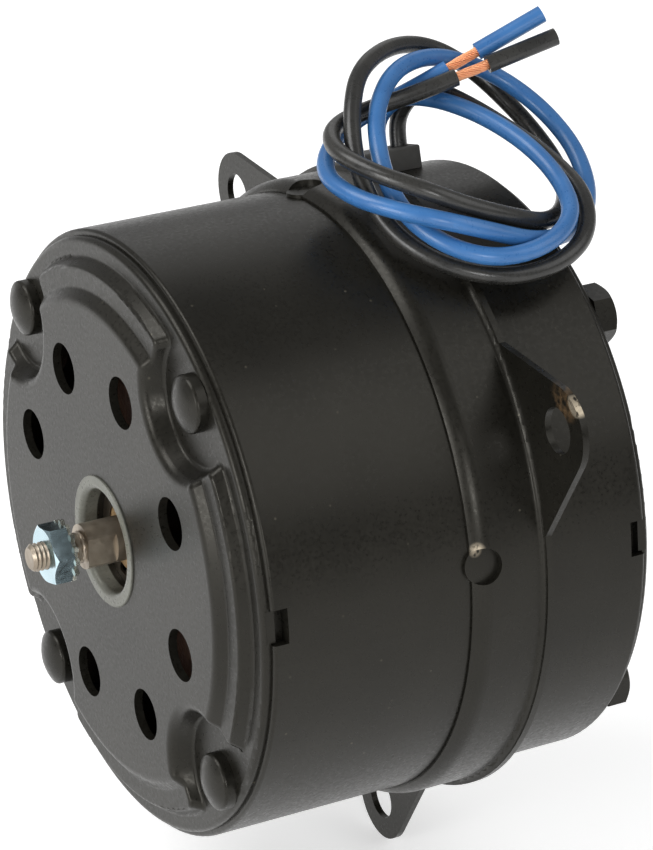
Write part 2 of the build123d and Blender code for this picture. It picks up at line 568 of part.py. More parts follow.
def make_rotor_shaft():
    neck_middle_y = (NECK_FRONT_Y + NECK_REAR_Y) / 2
    shaft = rod(SHAFT_RADIUS, NECK_REAR_Y, SHAFT_REAR_Y)
    shaft = chamfer(shaft.faces().sort_by(Axis.Y)[-1].edges(), THREAD_CHAMFER)
    beside_flat = Box(2 * SHAFT_RADIUS, 2 * FLAT_LENGTH, 4 * SHAFT_RADIUS)
    shaft -= Pos(SHAFT_FLAT_ACROSS, NECK_REAR_Y, 0) * beside_flat
    waist = (NECK_LENGTH**2 / 4 + NECK_DISH**2) / (2 * NECK_DISH)
    neck = rod(NECK_RADIUS, NECK_FRONT_Y, NECK_REAR_Y)
    ring_centre = NECK_RADIUS - NECK_DISH + waist
    neck -= Pos(0, neck_middle_y, 0) * Rot(90, 0, 0) * Torus(ring_centre, waist)
    thread = rod(THREAD_RADIUS, SHAFT_TIP_Y, NECK_FRONT_Y)
    thread = chamfer(thread.faces().sort_by(Axis.Y)[0].edges(), THREAD_CHAMFER)
    return shaft + neck + thread


def make_toothed_washer():
    outline = Circle(WASHER_RADIUS - WASHER_TOOTH_DEPTH)
    pitch = 360 / WASHER_TEETH
    for angle in circle_angles(WASHER_TEETH, 0):
        root = WASHER_RADIUS - WASHER_TOOTH_DEPTH - WASHER_TOOTH_LAP
        half = root * tan(radians(pitch * WASHER_TOOTH_SHARE))
        tip = half * WASHER_TOOTH_TAPER
        tooth = Polygon((root, -half), (WASHER_RADIUS, -tip), (WASHER_RADIUS, tip), (root, half), align=None)
        outline += Rot(0, 0, angle) * tooth
    outline -= Circle(THREAD_RADIUS + FIT_CLEARANCE)
    return plate(outline, NECK_FRONT_Y - WASHER_THICKNESS, NECK_FRONT_Y)


def make_shaft_nut():
    rear_y = NECK_FRONT_Y - WASHER_THICKNESS
    front_y = rear_y - NUT_HEIGHT
    corner = NUT_ACROSS / sqrt(3)
    nut = hex_bar(NUT_ACROSS, front_y, rear_y, turn=NUT_TURN)
    crown = turned([
        (0, rear_y), (corner, rear_y), (corner, front_y + NUT_CROWN), (NUT_ACROSS / 2, front_y), (0, front_y),
    ])
    return (nut & crown) - rod(THREAD_RADIUS + FIT_CLEARANCE, front_y - CUT_MARGIN, rear_y + CUT_MARGIN)


def make_bearing(middle_y):
    """A self-aligning bush: a ball with its two ends cut flat."""
    ball = Pos(0, middle_y, 0) * Sphere(BEARING_BALL_RADIUS)
    half = BEARING_LENGTH / 2
    ball = ball & rod(2 * BEARING_BALL_RADIUS, middle_y - half, middle_y + half)
    return ball - rod(SHAFT_HOLE_RADIUS, middle_y - half - CUT_MARGIN, middle_y + half + CUT_MARGIN)


def make_retainer(bearing_y):
    """A thin spring ring whose fingers press on the bush from the cap's mouth side."""
    outline = Circle(HUB_BORE_RADIUS - SEAT_CLEARANCE) - Circle(RETAINER_BORE_RADIUS)
    for angle in circle_angles(RETAINER_FINGERS, RETAINER_TURN):
        slot = Pos(RETAINER_BORE_RADIUS, 0) * Rectangle(RETAINER_SLOT_DEPTH * 2, RETAINER_SLOT)
        outline -= Rot(0, 0, angle) * slot
    return plate(outline, bearing_y, bearing_y + RETAINER_THICKNESS)


def make_oil_felt(y_from):
    inner = sqrt(BEARING_BALL_RADIUS**2 - FELT_OFFSET**2) + SEAT_CLEARANCE
    return make_hub_ring(inner, HUB_BORE_RADIUS - SEAT_CLEARANCE, y_from, y_from + FELT_THICKNESS)


def slot_outline(margin):
    """The armature's slots in X and Z, each widened by the margin."""
    outline = Sketch()
    for angle in circle_angles(SLOT_COUNT, SLOT_FIRST_ANGLE):
        middle = (SLOT_TOP_RADIUS + SLOT_BOTTOM_RADIUS) / 2
        body = RectangleRounded(SLOT_DEPTH + 2 * margin, SLOT_WIDTH + 2 * margin, SLOT_CORNER)
        outline += Rot(0, 0, angle) * Pos(middle, 0) * body
    return outline


def make_armature_core():
    mouths = Sketch()
    for angle in circle_angles(SLOT_COUNT, SLOT_FIRST_ANGLE):
        reach = TOOTH_TIP_DEPTH + 2 * CUT_MARGIN
        middle = SLOT_TOP_RADIUS + TOOTH_TIP_DEPTH / 2
        mouths += Rot(0, 0, angle) * Pos(middle, 0) * Rectangle(reach, SLOT_MOUTH)
    sheet = Circle(CORE_RADIUS) - Circle(SHAFT_HOLE_RADIUS) - slot_outline(SLOT_LINER) - mouths
    return plate(sheet, CORE_FRONT_Y, CORE_REAR_Y)


def make_core_insulator(y_from):
    sheet = Circle(SLOT_TOP_RADIUS + SLOT_LINER) - Circle(COLLAR_RADIUS + SEAT_CLEARANCE)
    sheet -= slot_outline(SLOT_LINER)
    return keep_largest(plate(sheet, y_from, y_from + INSULATOR_THICKNESS))


def make_armature_winding():
    """Copper in every slot, joined at both ends by the rounded end turns."""
    front_y = CORE_FRONT_Y - INSULATOR_THICKNESS
    rear_y = CORE_REAR_Y + INSULATOR_THICKNESS
    winding = plate(slot_outline(0), front_y - JOIN_LAP, rear_y + JOIN_LAP)
    for y_from, y_to in ((front_y - END_TURN_LENGTH, front_y), (rear_y, rear_y + END_TURN_LENGTH)):
        ring = make_hub_ring(END_TURN_INNER_RADIUS, SLOT_TOP_RADIUS, y_from, y_to)
        far_y = y_from if y_from < CORE_FRONT_Y else y_to
        ends = ring_edges(ring, END_TURN_INNER_RADIUS, far_y) + ring_edges(ring, SLOT_TOP_RADIUS, far_y)
        winding += fillet(ends, END_TURN_ROUND)
    return winding


def make_commutator_hub():
    return make_shaft_collar(COMMUTATOR_HUB_RADIUS - FIT_CLEARANCE, COMMUTATOR_FRONT_Y, COMMUTATOR_REAR_Y)


def make_commutator_copper():
    copper = make_hub_ring(COMMUTATOR_HUB_RADIUS, COMMUTATOR_RADIUS, COMMUTATOR_FRONT_Y, COMMUTATOR_REAR_Y)
    copper += make_hub_ring(
        COMMUTATOR_HUB_RADIUS, RISER_RADIUS, COMMUTATOR_FRONT_Y, COMMUTATOR_FRONT_Y + RISER_LENGTH
    )
    length = 2 * COMMUTATOR_LENGTH
    for angle in circle_angles(SLOT_COUNT, SLOT_FIRST_ANGLE):
        reach = RISER_HEIGHT + BAR_SLIT_DEPTH + CUT_MARGIN
        slit = Box(reach, 2 * length, BAR_SLIT)
        middle = COMMUTATOR_RADIUS - BAR_SLIT_DEPTH + reach / 2
        copper -= at_angle(angle) * Pos(middle, COMMUTATOR_FRONT_Y, 0) * slit
    return copper


def make_magnet(angle):
    ring = make_hub_ring(MAGNET_BORE, MAGNET_OUTER, MAGNET_FRONT_Y, MAGNET_REAR_Y)
    reach = 2 * CASE_RADIUS
    side = reach * tan(radians(MAGNET_ARC / 2))
    wedge = Polygon((0, 0), (reach, -side), (reach, side), align=None)
    wedge = plate(Rot(0, 0, angle) * wedge, MAGNET_FRONT_Y - CUT_MARGIN, MAGNET_REAR_Y + CUT_MARGIN)
    return ring & wedge


def make_brush_plate():
    sheet = Circle(BRUSH_PLATE_RADIUS) - Circle(BRUSH_PLATE_HOLE_RADIUS)
    for angle in circle_angles(SCREW_COUNT, SCREW_FIRST_ANGLE):
        x, z = on_circle(SCREW_CIRCLE_RADIUS, angle)
        sheet -= Pos(x, z) * Circle(SCREW_RADIUS + FIT_CLEARANCE)
    for angle in circle_angles(BOLT_COUNT, BOLT_FIRST_ANGLE):
        x, z = on_circle(BOLT_CIRCLE_RADIUS, angle)
        sheet -= Pos(x, z) * Circle(POCKET_FLOOR_RADIUS + CAP_WALL + 2 * POCKET_SLOPE)
    return keep_largest(plate(sheet, BRUSH_PLATE_FRONT_Y, BRUSH_PLATE_REAR_Y))


def make_brush_plate_screws():
    screws = []
    for angle in circle_angles(SCREW_COUNT, SCREW_FIRST_ANGLE):
        x, z = on_circle(SCREW_CIRCLE_RADIUS, angle)
        head = rod(SCREW_HEAD_RADIUS, BRUSH_PLATE_FRONT_Y - SCREW_HEAD_HEIGHT, BRUSH_PLATE_FRONT_Y, x, z)
        head = fillet(head.faces().sort_by(Axis.Y)[0].edges(), SCREW_HEAD_ROUND)
        screws.append(head + rod(SCREW_RADIUS, BRUSH_PLATE_FRONT_Y - JOIN_LAP, REAR_FACE_Y, x, z))
    return Compound(children=screws)


def side_turn(side):
    """Leaves a piece drawn above the shaft where it is, or turns it to below the shaft."""
    return Rot(0, 0 if side > 0 else 180, 0)


def make_brush_holder(side):
    """A sheet brass box round the brush, open toward the commutator."""
    hole_x = BRUSH_WIDTH + 2 * BRUSH_CLEARANCE
    height = SPRING_SEAT_RADIUS - HOLDER_FRONT_RADIUS
    middle = HOLDER_FRONT_RADIUS + height / 2
    outer = Box(hole_x + 2 * HOLDER_WALL, HOLDER_INNER_DEPTH + 2 * HOLDER_WALL, height + HOLDER_WALL)
    box = Pos(0, BRUSH_Y, middle + HOLDER_WALL / 2) * outer
    box -= Pos(0, BRUSH_Y, middle - CUT_MARGIN) * Box(hole_x, HOLDER_INNER_DEPTH, height + 2 * CUT_MARGIN)
    window = Box(BRUSH_WIDTH / 3, 4 * HOLDER_WALL, height - 4 * HOLDER_WALL)
    front_y = BRUSH_Y - HOLDER_INNER_DEPTH / 2 - HOLDER_WALL / 2
    return side_turn(side) * (box - Pos(0, front_y, middle) * window)


def make_brush(side):
    face = rod(BRUSH_FACE_RADIUS, BRUSH_Y - BRUSH_DEPTH, BRUSH_Y + BRUSH_DEPTH)
    length = BRUSH_BACK_RADIUS - COMMUTATOR_RADIUS / 2
    block = Pos(0, BRUSH_Y, BRUSH_BACK_RADIUS - length / 2) * Box(BRUSH_WIDTH, BRUSH_DEPTH, length)
    return side_turn(side) * keep_largest(block - face)


def make_brush_spring(side):
    low = BRUSH_BACK_RADIUS + SPRING_WIRE_RADIUS + SPRING_SEAT_GAP
    high = SPRING_SEAT_RADIUS - SPRING_WIRE_RADIUS - SPRING_SEAT_GAP
    line = Helix((high - low) / SPRING_TURNS, high - low, SPRING_RADIUS)
    wire = sweep(Plane(line @ 0, z_dir=line % 0) * Circle(SPRING_WIRE_RADIUS), line, is_frenet=True)
    return side_turn(side) * Pos(0, BRUSH_Y, low) * wire


def make_lead_grommet():
    """A rubber block in the case wall: a head outside, a neck in the opening and a lip inside."""
    groove = 2 * (GROMMET_GROOVE + FIT_CLEARANCE)
    neck = Box(CASE_WALL + GROMMET_HEIGHT / 2, GROMMET_LENGTH - groove, GROMMET_WIDTH - groove)
    head = Box(GROMMET_HEIGHT + CASE_WALL, GROMMET_LENGTH, GROMMET_WIDTH)
    head = fillet(head.edges().filter_by(Axis.X), GROMMET_CORNER)
    head = fillet(head.faces().sort_by(Axis.X)[-1].edges(), GROMMET_CORNER / 2)
    head = Pos(CASE_RADIUS + GROMMET_HEIGHT / 2 - CASE_WALL / 2, GROMMET_MIDDLE_Y, 0) * head
    cut_front_y = GROMMET_FRONT_Y - CUT_MARGIN
    cut_rear_y = GROMMET_FRONT_Y + GROMMET_LENGTH + CUT_MARGIN
    head -= rod(CASE_RADIUS + SEAT_CLEARANCE, cut_front_y, cut_rear_y)
    lip = Box(4 * GROMMET_FOOT_HEIGHT, GROMMET_LENGTH, GROMMET_WIDTH)
    lip = Pos(CASE_BORE, GROMMET_MIDDLE_Y, 0) * lip
    lip = lip & rod(CASE_BORE - SEAT_CLEARANCE, cut_front_y, cut_rear_y)
    lip -= rod(CASE_BORE - GROMMET_FOOT_HEIGHT, cut_front_y, cut_rear_y)
    block = head + lip + Pos(CASE_RADIUS - CASE_WALL / 2, GROMMET_MIDDLE_Y, 0) * neck
    return at_angle(GROMMET_ANGLE) * block


def lead_exit(index):
    """Where a lead leaves the top of the grommet, and the direction in which it leaves."""
    top = CASE_RADIUS + GROMMET_HEIGHT
    outward = Vector(cos(radians(GROMMET_ANGLE)), 0, sin(radians(GROMMET_ANGLE)))
    return top * outward + Vector(0, GROMMET_FRONT_Y + LEAD_FIRST_Y + index * LEAD_PITCH, 0), outward


def lead_route(index, points):
    """The whole route of a lead: out of the grommet, then through the chosen points."""
    start, outward = lead_exit(index)
    return [start, start + LEAD_EXIT_RUN * outward] + [Vector(*point) for point in points]


def corner_radii(route):
    """The largest arc that each corner's two runs allow."""
    radii = []
    for before, corner, after in zip(route, route[1:], route[2:]):
        run = min((corner - before).length, (after - corner).length)
        turn = radians((corner - before).get_angle(after - corner))
        radii.append(ARC_SHARE * run / tan(turn / 2))
    return radii


def make_lead(index, points):
    """The insulation of one lead, from the grommet to where it has been cut."""
    route = lead_route(index, points)
    radii = corner_radii(route)
    path = FilletPolyline(*route, radius=radii)
    print("radii", [round(radius, 1) for radius in radii], "length", round(path.length, 1))
    section = Plane(path @ 0, z_dir=path % 0) * Circle(LEAD_RADIUS)
    return sweep(section, path)


def lead_end(points):
    """The plane across a lead's cut end, looking out along the bare strands."""
    last, end = Vector(*points[-2]), Vector(*points[-1])
    return Plane(end, z_dir=end - last)


def upward(radius, length):
    """A round bar that stands on its plane."""
    return extrude(Circle(radius), length)


def make_lead_core(points):
    """The bare copper strands, twisted together, from the cut to inside the slug."""
    return lead_end(points) * upward(LEAD_CORE_RADIUS, LEAD_BARE_LENGTH + LEAD_SLUG_LAP)


def make_lead_slug(points):
    """The short piece of insulation that is left on the strands' end."""
    slug = upward(LEAD_RADIUS, LEAD_SLUG_LENGTH) - upward(
        LEAD_CORE_RADIUS + LEAD_CORE_CLEARANCE, LEAD_SLUG_LAP + LEAD_CORE_CLEARANCE
    )
    return lead_end(points) * Pos(0, 0, LEAD_BARE_LENGTH) * slug


nodes = {
    "case_tube": (make_case_tube,),
    "front_end_cap": (make_front_end_cap,),
    "rear_end_cap": (make_rear_end_cap,),
    "mounting_ring": (make_mounting_ring,),
    "through_bolts": (make_through_bolts,),
    "through_bolt_nuts": (make_through_bolt_nuts,),
    "rotor_shaft": (make_rotor_shaft,),
    "toothed_washer": (make_toothed_washer,),
    "shaft_nut": (make_shaft_nut,),
    "front_bearing": (make_bearing, FRONT_BEARING_Y),
    "rear_bearing": (make_bearing, REAR_BEARING_Y),
    "front_bearing_retainer": (make_retainer, FRONT_BEARING_Y - BEARING_LENGTH / 2),
    "rear_bearing_retainer": (make_retainer, REAR_BEARING_Y - BEARING_LENGTH / 2),
    "front_oil_felt": (make_oil_felt, FRONT_BEARING_Y + FELT_OFFSET),
    "rear_oil_felt": (make_oil_felt, REAR_BEARING_Y + FELT_OFFSET),
    "front_thrust_washer": (make_shaft_collar, THRUST_WASHER_RADIUS, FRONT_WASHER_Y, FRONT_SPACER_Y),
    "front_spacer": (make_shaft_collar, COLLAR_RADIUS, FRONT_SPACER_Y, CORE_FRONT_Y),
    "rear_spacer": (make_shaft_collar, COLLAR_RADIUS, COMMUTATOR_REAR_Y, REAR_SPACER_Y),
    "rear_thrust_washer": (make_shaft_collar, THRUST_WASHER_RADIUS, REAR_SPACER_Y, REAR_WASHER_Y),
    "armature_core": (make_armature_core,),
    "front_core_insulator": (make_core_insulator, CORE_FRONT_Y - INSULATOR_THICKNESS),
    "rear_core_insulator": (make_core_insulator, CORE_REAR_Y),
    "armature_winding": (make_armature_winding,),
    "commutator_hub": (make_commutator_hub,),
    "commutator_copper": (make_commutator_copper,),
    "brush_plate": (make_brush_plate,),
    "brush_plate_screws": (make_brush_plate_screws,),
    "lead_grommet": (make_lead_grommet,),
}
for side_name, side in (("top", 1), ("bottom", -1)):
    nodes[f"{side_name}_brush_holder"] = (make_brush_holder, side)
    nodes[f"{side_name}_brush"] = (make_brush, side)
    nodes[f"{side_name}_brush_spring"] = (make_brush_spring, side)
magnet_angles = circle_angles(MAGNET_COUNT, MAGNET_CENTRE_ANGLE)
for side_name, angle in zip(("right", "top", "left", "bottom"), magnet_angles):
    nodes[f"magnet_{side_name}"] = (make_magnet, angle)
for index, (color_name, points) in enumerate((("blue", BLUE_LEAD_POINTS), ("black", BLACK_LEAD_POINTS))):
    nodes[f"{color_name}_lead"] = (make_lead, index, points)
    nodes[f"{color_name}_lead_core"] = (make_lead_core, points)
    nodes[f"{color_name}_lead_slug"] = (make_lead_slug, points)

for name, (maker, *sizes) in nodes.items():
    piece = maker(*sizes)
    export_step(piece, f"parts/{name}.step")
    print(name, len(piece.solids()), round(piece.volume, 1))
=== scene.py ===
import bpy
import json
from math import cos, pi, radians, sin, tau
from random import Random
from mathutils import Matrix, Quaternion, Vector


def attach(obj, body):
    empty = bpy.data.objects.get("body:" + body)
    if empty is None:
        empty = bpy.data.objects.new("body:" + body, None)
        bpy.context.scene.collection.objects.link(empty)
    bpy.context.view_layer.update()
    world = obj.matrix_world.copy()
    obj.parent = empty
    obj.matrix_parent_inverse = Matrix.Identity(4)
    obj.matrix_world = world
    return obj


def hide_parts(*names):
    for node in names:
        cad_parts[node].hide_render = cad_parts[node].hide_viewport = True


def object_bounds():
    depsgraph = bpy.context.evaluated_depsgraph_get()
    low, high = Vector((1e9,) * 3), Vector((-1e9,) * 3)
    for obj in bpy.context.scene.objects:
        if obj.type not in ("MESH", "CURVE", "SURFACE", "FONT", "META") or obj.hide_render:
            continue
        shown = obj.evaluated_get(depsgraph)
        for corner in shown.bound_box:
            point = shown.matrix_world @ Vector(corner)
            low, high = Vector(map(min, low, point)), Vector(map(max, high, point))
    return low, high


MM = 0.001

# Camera, fitted to the photo's frame
CAMERA_PLACE = Vector((0.52314, -0.29012, 0.29501))
CAMERA_AIM = Vector((-0.00534, -0.00892, 0.00982))
CAMERA_ROLL = radians(0.16)
CAMERA_LENS = 157.19
CAMERA_SENSOR = 36.0
CAMERA_NEAR = 0.01
CAMERA_FAR = 20.0

# Leads, with the strands of their bare ends and the points of their routes
LEAD_RADIUS = 1.55 * MM
LEAD_ROUNDNESS = 7
LEAD_STEPS = 14
BLUE_LEAD_LENGTH = 0.2935
BLACK_LEAD_LENGTH = 0.2988
BLUE_LEAD_SEED = 3
BLACK_LEAD_SEED = 8
STRAND_RADIUS = 0.155 * MM
STRAND_ROUNDNESS = 3
STRAND_START = -1.5 * MM
STRAND_END = 8.4 * MM
STRAND_TURNS = 0.55
STRAND_RINGS = ((15, 0.72 * MM), (10, 0.46 * MM), (5, 0.20 * MM))
STRAND_STEPS = 20
STRAND_UNEVENNESS = 0.12
STRAND_BULGE = 0.06 * MM
BLUE_LEAD_POINTS = [
    (-0.01696, 0.0075, 0.05547), (-0.01798, 0.0075, 0.05882),
    (-0.0175, 0.0085, 0.0625), (-0.0150, 0.0105, 0.0655), (-0.0110, 0.0130, 0.0665),
    (-0.0060, 0.0160, 0.0665), (0.0005, 0.0200, 0.0650), (0.0095, 0.0230, 0.0625),
    (0.0190, 0.0235, 0.0595), (0.0285, 0.0205, 0.0570), (0.0335, 0.0130, 0.0550),
    (0.0335, 0.0045, 0.0540), (0.0300, -0.0020, 0.0550), (0.0240, -0.0065, 0.0575),
    (0.0165, -0.0080, 0.0610), (0.0085, -0.0065, 0.0660), (0.0000, -0.0025, 0.0705),
    (-0.0075, 0.0050, 0.0740), (-0.0115, 0.0145, 0.0740), (-0.0110, 0.0230, 0.0710),
    (-0.0075, 0.0295, 0.0670), (-0.0010, 0.0335, 0.0625), (0.0070, 0.0345, 0.0580),
    (0.0170, 0.0310, 0.0535), (0.0250, 0.0225, 0.0520), (0.0295, 0.0125, 0.0540),
    (0.0300, 0.0030, 0.0580), (0.0280, -0.0045, 0.0605), (0.0230, -0.0105, 0.0615),
    (0.0150, -0.0150, 0.0620), (0.0040, -0.0150, 0.0625), (-0.0050, -0.0080, 0.0645),
    (-0.0090, 0.0010, 0.0665), (-0.0090, 0.0095, 0.0690), (-0.0076, 0.0160, 0.0723),
]
BLACK_LEAD_POINTS = [
    (-0.01696, 0.0117, 0.05547), (-0.01798, 0.0117, 0.05882),
    (-0.0175, 0.0125, 0.0625), (-0.0155, 0.0140, 0.0655), (-0.0120, 0.0165, 0.0670),
    (-0.0060, 0.0205, 0.0650), (0.0020, 0.0245, 0.0620), (0.0110, 0.0270, 0.0595),
    (0.0215, 0.0270, 0.0570), (0.0300, 0.0225, 0.0535), (0.0335, 0.0150, 0.0510),
    (0.0330, 0.0065, 0.0500), (0.0300, -0.0005, 0.0510), (0.0250, -0.0060, 0.0530),
    (0.0190, -0.0095, 0.0560), (0.0135, -0.0110, 0.0605), (0.0075, -0.0105, 0.0655),
    (0.0005, -0.0075, 0.0710), (-0.0070, -0.0020, 0.0755), (-0.0130, 0.0075, 0.0765),
    (-0.0160, 0.0170, 0.0740), (-0.0145, 0.0245, 0.0690), (-0.0105, 0.0290, 0.0640),
    (-0.0035, 0.0315, 0.0595), (0.0060, 0.0315, 0.0555), (0.0165, 0.0265, 0.0535),
    (0.0245, 0.0180, 0.0545), (0.0270, 0.0085, 0.0585), (0.0265, 0.0000, 0.0620),
    (0.0235, -0.0065, 0.0650), (0.0170, -0.0120, 0.0665), (0.0075, -0.0145, 0.0675),
    (-0.0015, -0.0105, 0.0680), (-0.0055, -0.0010, 0.0685), (-0.0055, 0.0080, 0.0695),
    (-0.0041, 0.0158, 0.0719),
]

# Shaft, neck and thread; steepness and crest shape the thread's flanks and the flat along its top
SHAFT_RADIUS = 4.0 * MM
SHAFT_FLAT_X = 3.0 * MM
SHAFT_REAR_Y = 35.4 * MM
FLAT_END_Y = -54.4 * MM
NECK_REAR_Y = -59.7 * MM
NECK_FRONT_Y = -62.4 * MM
NECK_RADIUS = 3.0 * MM
NECK_DISH = 0.3 * MM
NECK_GROOVE_DEPTH = 0.45 * MM
THREAD_TIP_Y = -69.5 * MM
THREAD_RADIUS = 2.5 * MM
THREAD_DEPTH = 0.32 * MM
THREAD_PITCH = 0.8 * MM
THREAD_STEEPNESS = 1.25
THREAD_CREST = 0.12
SHAFT_CHAMFER = 0.6 * MM
SHAFT_SIDES = 72
SHAFT_SHARP_ANGLE = radians(28)
RINGS_TO_A_TURN = 12
HAIR = 0.001 * MM

# Floor and light; each lamp has its place and size in metres and its power in watts
WHITE = (1.0, 1.0, 1.0, 1.0)
WORLD_LEVEL = 0.35
FLOOR_REACH = 6.0
FLOOR_DROP = 0.5 * MM
FLOOR_COLOR = (0.92, 0.92, 0.92, 1.0)
FLOOR_ROUGHNESS = 0.9
FLOOR_GLOW = 0.43
LAMPS = [
    ("key_lamp", (-0.39, -0.72, 1.01), 0.7, 7.5),
    ("right_lamp", (0.82, 0.76, 1.00), 1.2, 6.3),
    ("back_lamp", (-1.10, 0.64, 0.79), 0.9, 1.3),
    ("low_lamp", (0.34, -1.12, 0.30), 0.5, 6.0),
    ("near_lamp", (1.14, -0.44, 0.34), 0.27, 3.3),
]

# Paint, dust and bare metal, as linear colours
PAINT_DARK = (0.0060, 0.0056, 0.0043)
PAINT_DUSTY = (0.0150, 0.0139, 0.0110)
PAINT_SHEEN = (1.0, 0.965, 0.87)
PAINT_SHINE = 0.27
DUST = (0.16, 0.145, 0.11)
RUSTY = (0.075, 0.047, 0.024)
BARE = (0.42, 0.36, 0.27)
BARE_DULL = (0.150, 0.152, 0.130)
BARE_METALLIC = 0.7

# Patches in the paint: grains to the metre, detail, two values of the noise, and what each turns into
DUST_FILM = (38.0, 5.0, 0.35, 0.70, 0.0, 1.0)
DUST_GRAIN = (1500.0, 2.0, 0.35, 0.65, 0.4, 1.0)
PAINT_GLOSS = (1500.0, 2.0, 0.35, 0.65, 0.27, 0.39)
RUST_PATCHES = (700.0, 4.0, 0.40, 0.60, 0.0, 1.0)
BARE_PATCHES = (900.0, 3.0, 0.36, 0.46, 0.0, 1.0)
RING_PATCHES = (1700.0, 3.0, 0.30, 0.60, 0.8, 1.0)
PAINT_WAVES = (650.0, 2.0)
PAINT_WAVE_DEPTH = 0.004 * MM

# Worn places on the mounting ring: the middle, how far out each is whole, and how far it reaches
EAR_TIP_RUST = (Vector((0.0600, 0.0, 0.0395)), 1.6 * MM, 4.6 * MM)
EAR_TIP_BARE = (Vector((0.0634, 0.0006, 0.0406)), 1.7 * MM, 2.6 * MM)
STAKE_BARE = (Vector((0.0540, -0.0122, 0.0125)), 0.5 * MM, 1.6 * MM)

# Bare ring round the hub's mouth, which runs a little way down the bore
HUB_RING_RADIUS = 11.6 * MM
HUB_RING_FRONT_Y = -55.35 * MM
HUB_BORE_RADIUS = 9.4 * MM
HUB_BORE_BARE_Y = -52.6 * MM
RING_FADE = 0.3 * MM
DEPTH_FADE = 0.2 * MM

# Dust specks: number to the metre, size in pitches, the share left out, strength on case and ring
SPECK_PITCH = 300.0
SPECK_SIZE = (0.045, 0.085)
SPECKS_LEFT_OUT = 0.58
SPECK_RAMP = 0.3
CASE_SPECKLE = 0.35
RING_SPECKLE = 0.45

# Noises of a plain finish: a coarse one for its colours, a fine one for its roughness and relief
COARSE_TO_FINE = 8
COARSE_DETAIL = 4.0
FINE_DETAIL = 3.0
COARSE_SPAN = (0.35, 0.65)
FINE_SPAN = (0.3, 0.7)

# Plain finishes: two colours, least and greatest roughness, grains, relief in mm, metallic, stretch
PLAIN_FINISHES = {
    "shaft_steel": ((0.26, 0.215, 0.165), (0.42, 0.365, 0.295), (0.30, 0.44), 1900.0, 0.006, 0.85),
    "washer_zinc": ((0.60, 0.61, 0.54), (0.74, 0.75, 0.67), (0.20, 0.28), 1200.0, 0.003, 1.0),
    "nut_zinc": ((0.44, 0.58, 0.64), (0.54, 0.69, 0.75), (0.18, 0.26), 900.0, 0.002, 1.0),
    "sintered_bronze": ((0.35, 0.22, 0.10), (0.52, 0.35, 0.18), (0.35, 0.55), 3500.0, 0.02, 0.9),
    "retainer_steel": ((0.14, 0.115, 0.085), (0.24, 0.205, 0.16), (0.30, 0.45), 1800.0, 0.01, 1.0),
    "oil_felt": ((0.20, 0.15, 0.09), (0.34, 0.27, 0.17), (0.80, 0.95), 2600.0, 0.12),
    "washer_fibre": ((0.30, 0.10, 0.05), (0.42, 0.17, 0.09), (0.55, 0.70), 1900.0, 0.02),
    "spacer_steel": ((0.38, 0.37, 0.35), (0.50, 0.49, 0.46), (0.28, 0.42), 1700.0, 0.01, 1.0),
    "core_steel": (
        (0.10, 0.10, 0.11), (0.22, 0.22, 0.23), (0.40, 0.60), 2500.0, 0.03, 0.8, (0.15, 1.0, 0.15),
    ),
    "core_paper": ((0.40, 0.33, 0.18), (0.54, 0.46, 0.28), (0.60, 0.75), 1500.0, 0.03),
    # The winding's two colours are much darker than copper enamel: painted shade, so the motor's shaded
    # inside looks dark through the vents
    "winding_enamel": ((0.085, 0.036, 0.020), (0.15, 0.070, 0.038), (0.35, 0.50), 1400.0, 0.25, 0.3),
    "commutator_moulding": ((0.05, 0.03, 0.02), (0.09, 0.06, 0.04), (0.45, 0.60), 1600.0, 0.02),
    "commutator_copper": (
        (0.55, 0.25, 0.13), (0.80, 0.42, 0.25), (0.22, 0.38), 2600.0, 0.01, 1.0, (0.2, 1.0, 0.2),
    ),
    "brush_plate_board": ((0.22, 0.13, 0.06), (0.33, 0.21, 0.11), (0.50, 0.65), 1300.0, 0.03),
    "screw_zinc": ((0.50, 0.50, 0.47), (0.66, 0.66, 0.62), (0.26, 0.40), 2000.0, 0.01, 1.0),
    "grommet_rubber": ((0.052, 0.050, 0.045), (0.082, 0.079, 0.072), (0.55, 0.70), 1700.0, 0.04),
    "holder_brass": ((0.52, 0.38, 0.15), (0.70, 0.54, 0.26), (0.28, 0.42), 1700.0, 0.01, 1.0),
    "brush_carbon": ((0.03, 0.03, 0.033), (0.07, 0.07, 0.075), (0.45, 0.60), 2400.0, 0.02),
    "spring_steel": ((0.45, 0.45, 0.45), (0.62, 0.62, 0.62), (0.22, 0.36), 1500.0, 0.01, 1.0),
    "magnet_ferrite": ((0.09, 0.09, 0.095), (0.15, 0.15, 0.16), (0.45, 0.65), 1800.0, 0.03),
    "blue_insulation": ((0.034, 0.140, 0.362), (0.047, 0.173, 0.424), (0.26, 0.36), 1300.0, 0.006),
    "black_insulation": ((0.016, 0.016, 0.015), (0.030, 0.029, 0.026), (0.24, 0.36), 1300.0, 0.015),
    "bare_copper": ((0.88, 0.36, 0.17), (0.98, 0.49, 0.27), (0.32, 0.46), 2400.0, 0.01, 0.9),
}

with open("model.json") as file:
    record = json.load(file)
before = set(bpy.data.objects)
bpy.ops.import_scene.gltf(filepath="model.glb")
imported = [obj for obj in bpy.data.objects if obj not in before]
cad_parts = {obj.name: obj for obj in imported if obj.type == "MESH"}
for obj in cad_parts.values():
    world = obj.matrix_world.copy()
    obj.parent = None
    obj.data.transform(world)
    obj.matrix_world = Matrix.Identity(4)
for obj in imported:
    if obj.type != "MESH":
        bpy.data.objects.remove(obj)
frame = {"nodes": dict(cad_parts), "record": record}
nodes = frame["nodes"]
cad_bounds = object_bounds()


def link(thing):
    """Puts a new object into the scene."""
    bpy.context.scene.collection.objects.link(thing)
    return thing


